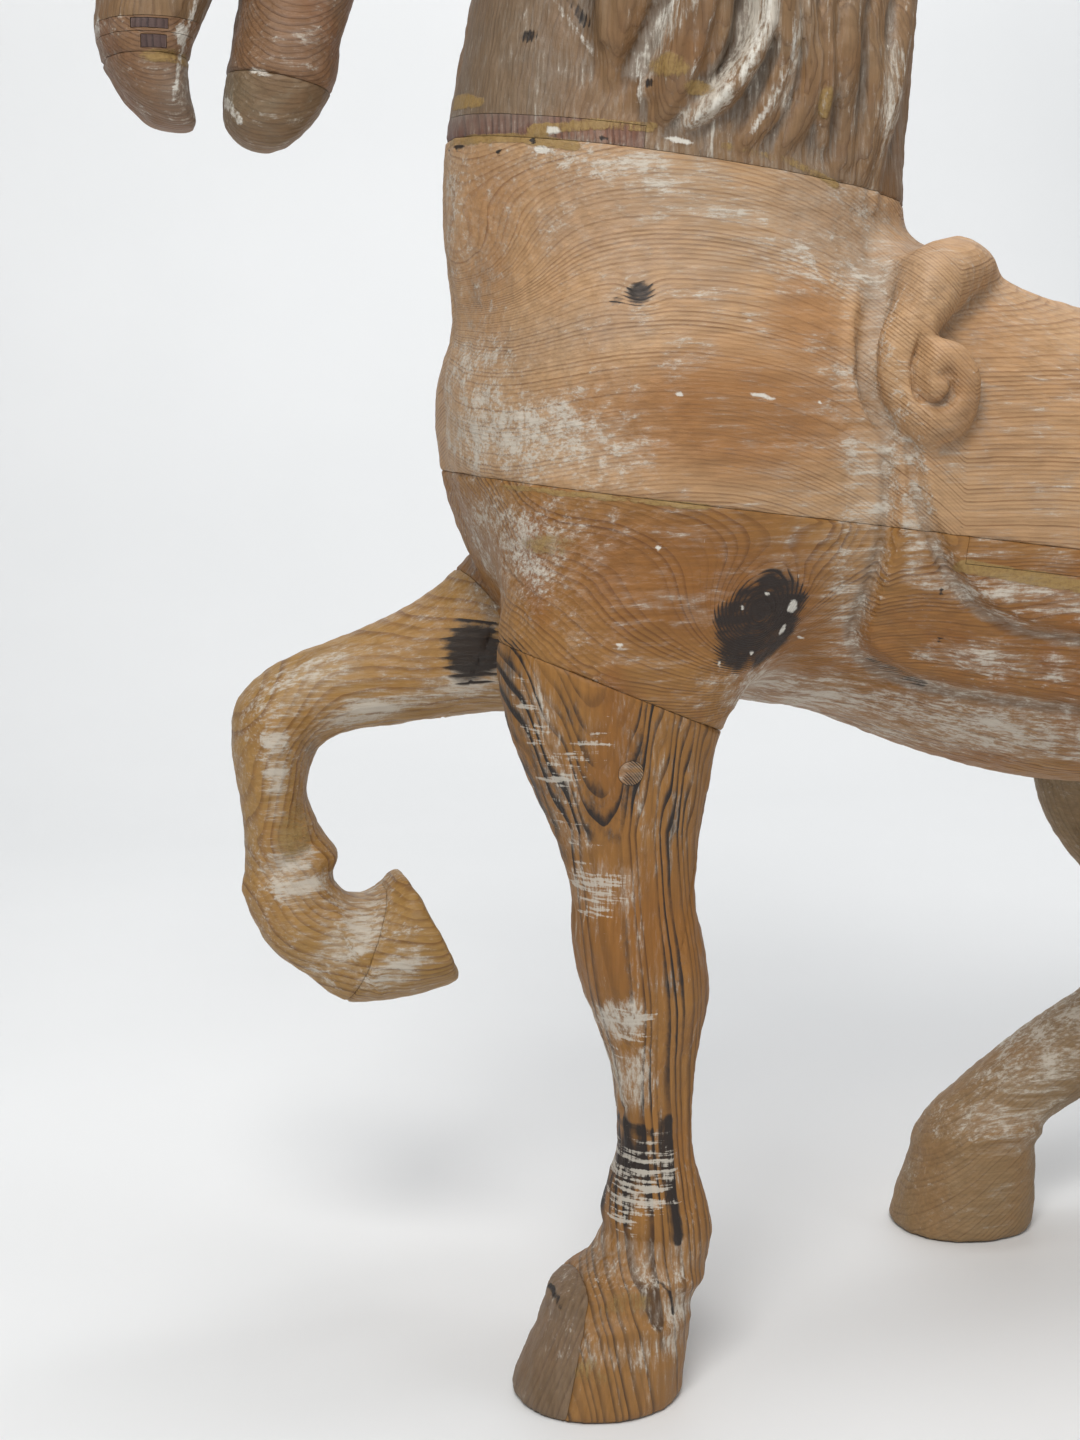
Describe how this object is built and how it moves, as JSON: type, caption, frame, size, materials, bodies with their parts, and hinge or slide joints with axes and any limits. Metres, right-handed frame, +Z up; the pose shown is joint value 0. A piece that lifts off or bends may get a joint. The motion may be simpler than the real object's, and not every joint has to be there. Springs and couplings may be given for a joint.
{
  "type": "carved wooden carousel horse statue",
  "caption": "Free-standing carved wooden horse in a prancing pose, glued up from body, neck, head and leg blocks, with one foreleg raised and the mouth open.",
  "frame": {"origin": "middle of the length and width of the horse, on the floor under its hooves", "axes": "+Z up; the horse faces -X, its near (left) side faces -Y, its tail is at +X"},
  "size_m": [1.0731, 0.306, 1.152],
  "materials": {
    "body_pine": "bare stripped pine, dry and slightly whitened",
    "leg_pine": "bare amber pine with dark latewood",
    "neck_wood": "grey-brown weathered wood with lime residue",
    "head_wood": "grey-brown weathered wood with lime residue",
    "jaw_wood": "bare brown wood with cream edges",
    "shim_wood": "reddish brown cross-grain wood",
    "inlay_wood": "dark cross-grain wood",
    "lath_pine": "bare pine with ochre filler",
    "tail_wood": "grey-brown weathered wood",
    "dowel_wood": "plain turned hardwood"
  },
  "bodies": {
    "root": {"body_lath": "lath_pine", "ear_dowel_far": "dowel_wood", "ear_dowel_near": "dowel_wood", "ear_far": "head_wood", "ear_near": "head_wood", "far_fore_hoof": "leg_pine", "far_foreleg": "leg_pine", "far_foreleg_dowel": "dowel_wood", "far_hind_shank": "leg_pine", "far_hind_thigh": "leg_pine", "far_hock_dowel": "dowel_wood", "far_hoof_dowel": "dowel_wood", "far_thigh_dowel": "dowel_wood", "head_block": "head_wood", "head_dowel": "dowel_wood", "jaw_dowel": "dowel_wood", "leg_plug": "dowel_wood", "lower_body_block": "body_pine", "lower_jaw": "jaw_wood", "lower_jaw_tip": "jaw_wood", "muzzle_band": "jaw_wood", "muzzle_band_inlay": "inlay_wood", "muzzle_lath": "jaw_wood", "muzzle_lath_inlay": "inlay_wood", "muzzle_tip": "jaw_wood", "near_fore_toe": "leg_pine", "near_foreleg": "leg_pine", "near_foreleg_dowel": "dowel_wood", "near_hind_shank": "leg_pine", "near_hind_thigh": "leg_pine", "near_hock_dowel": "dowel_wood", "near_thigh_dowel": "dowel_wood", "neck_block": "neck_wood", "neck_dowel_back": "dowel_wood", "neck_dowel_front": "dowel_wood", "neck_shim": "shim_wood", "tail_block": "tail_wood", "tail_dowel": "dowel_wood", "upper_body_block": "body_pine"}
  },
  "joints": []
}
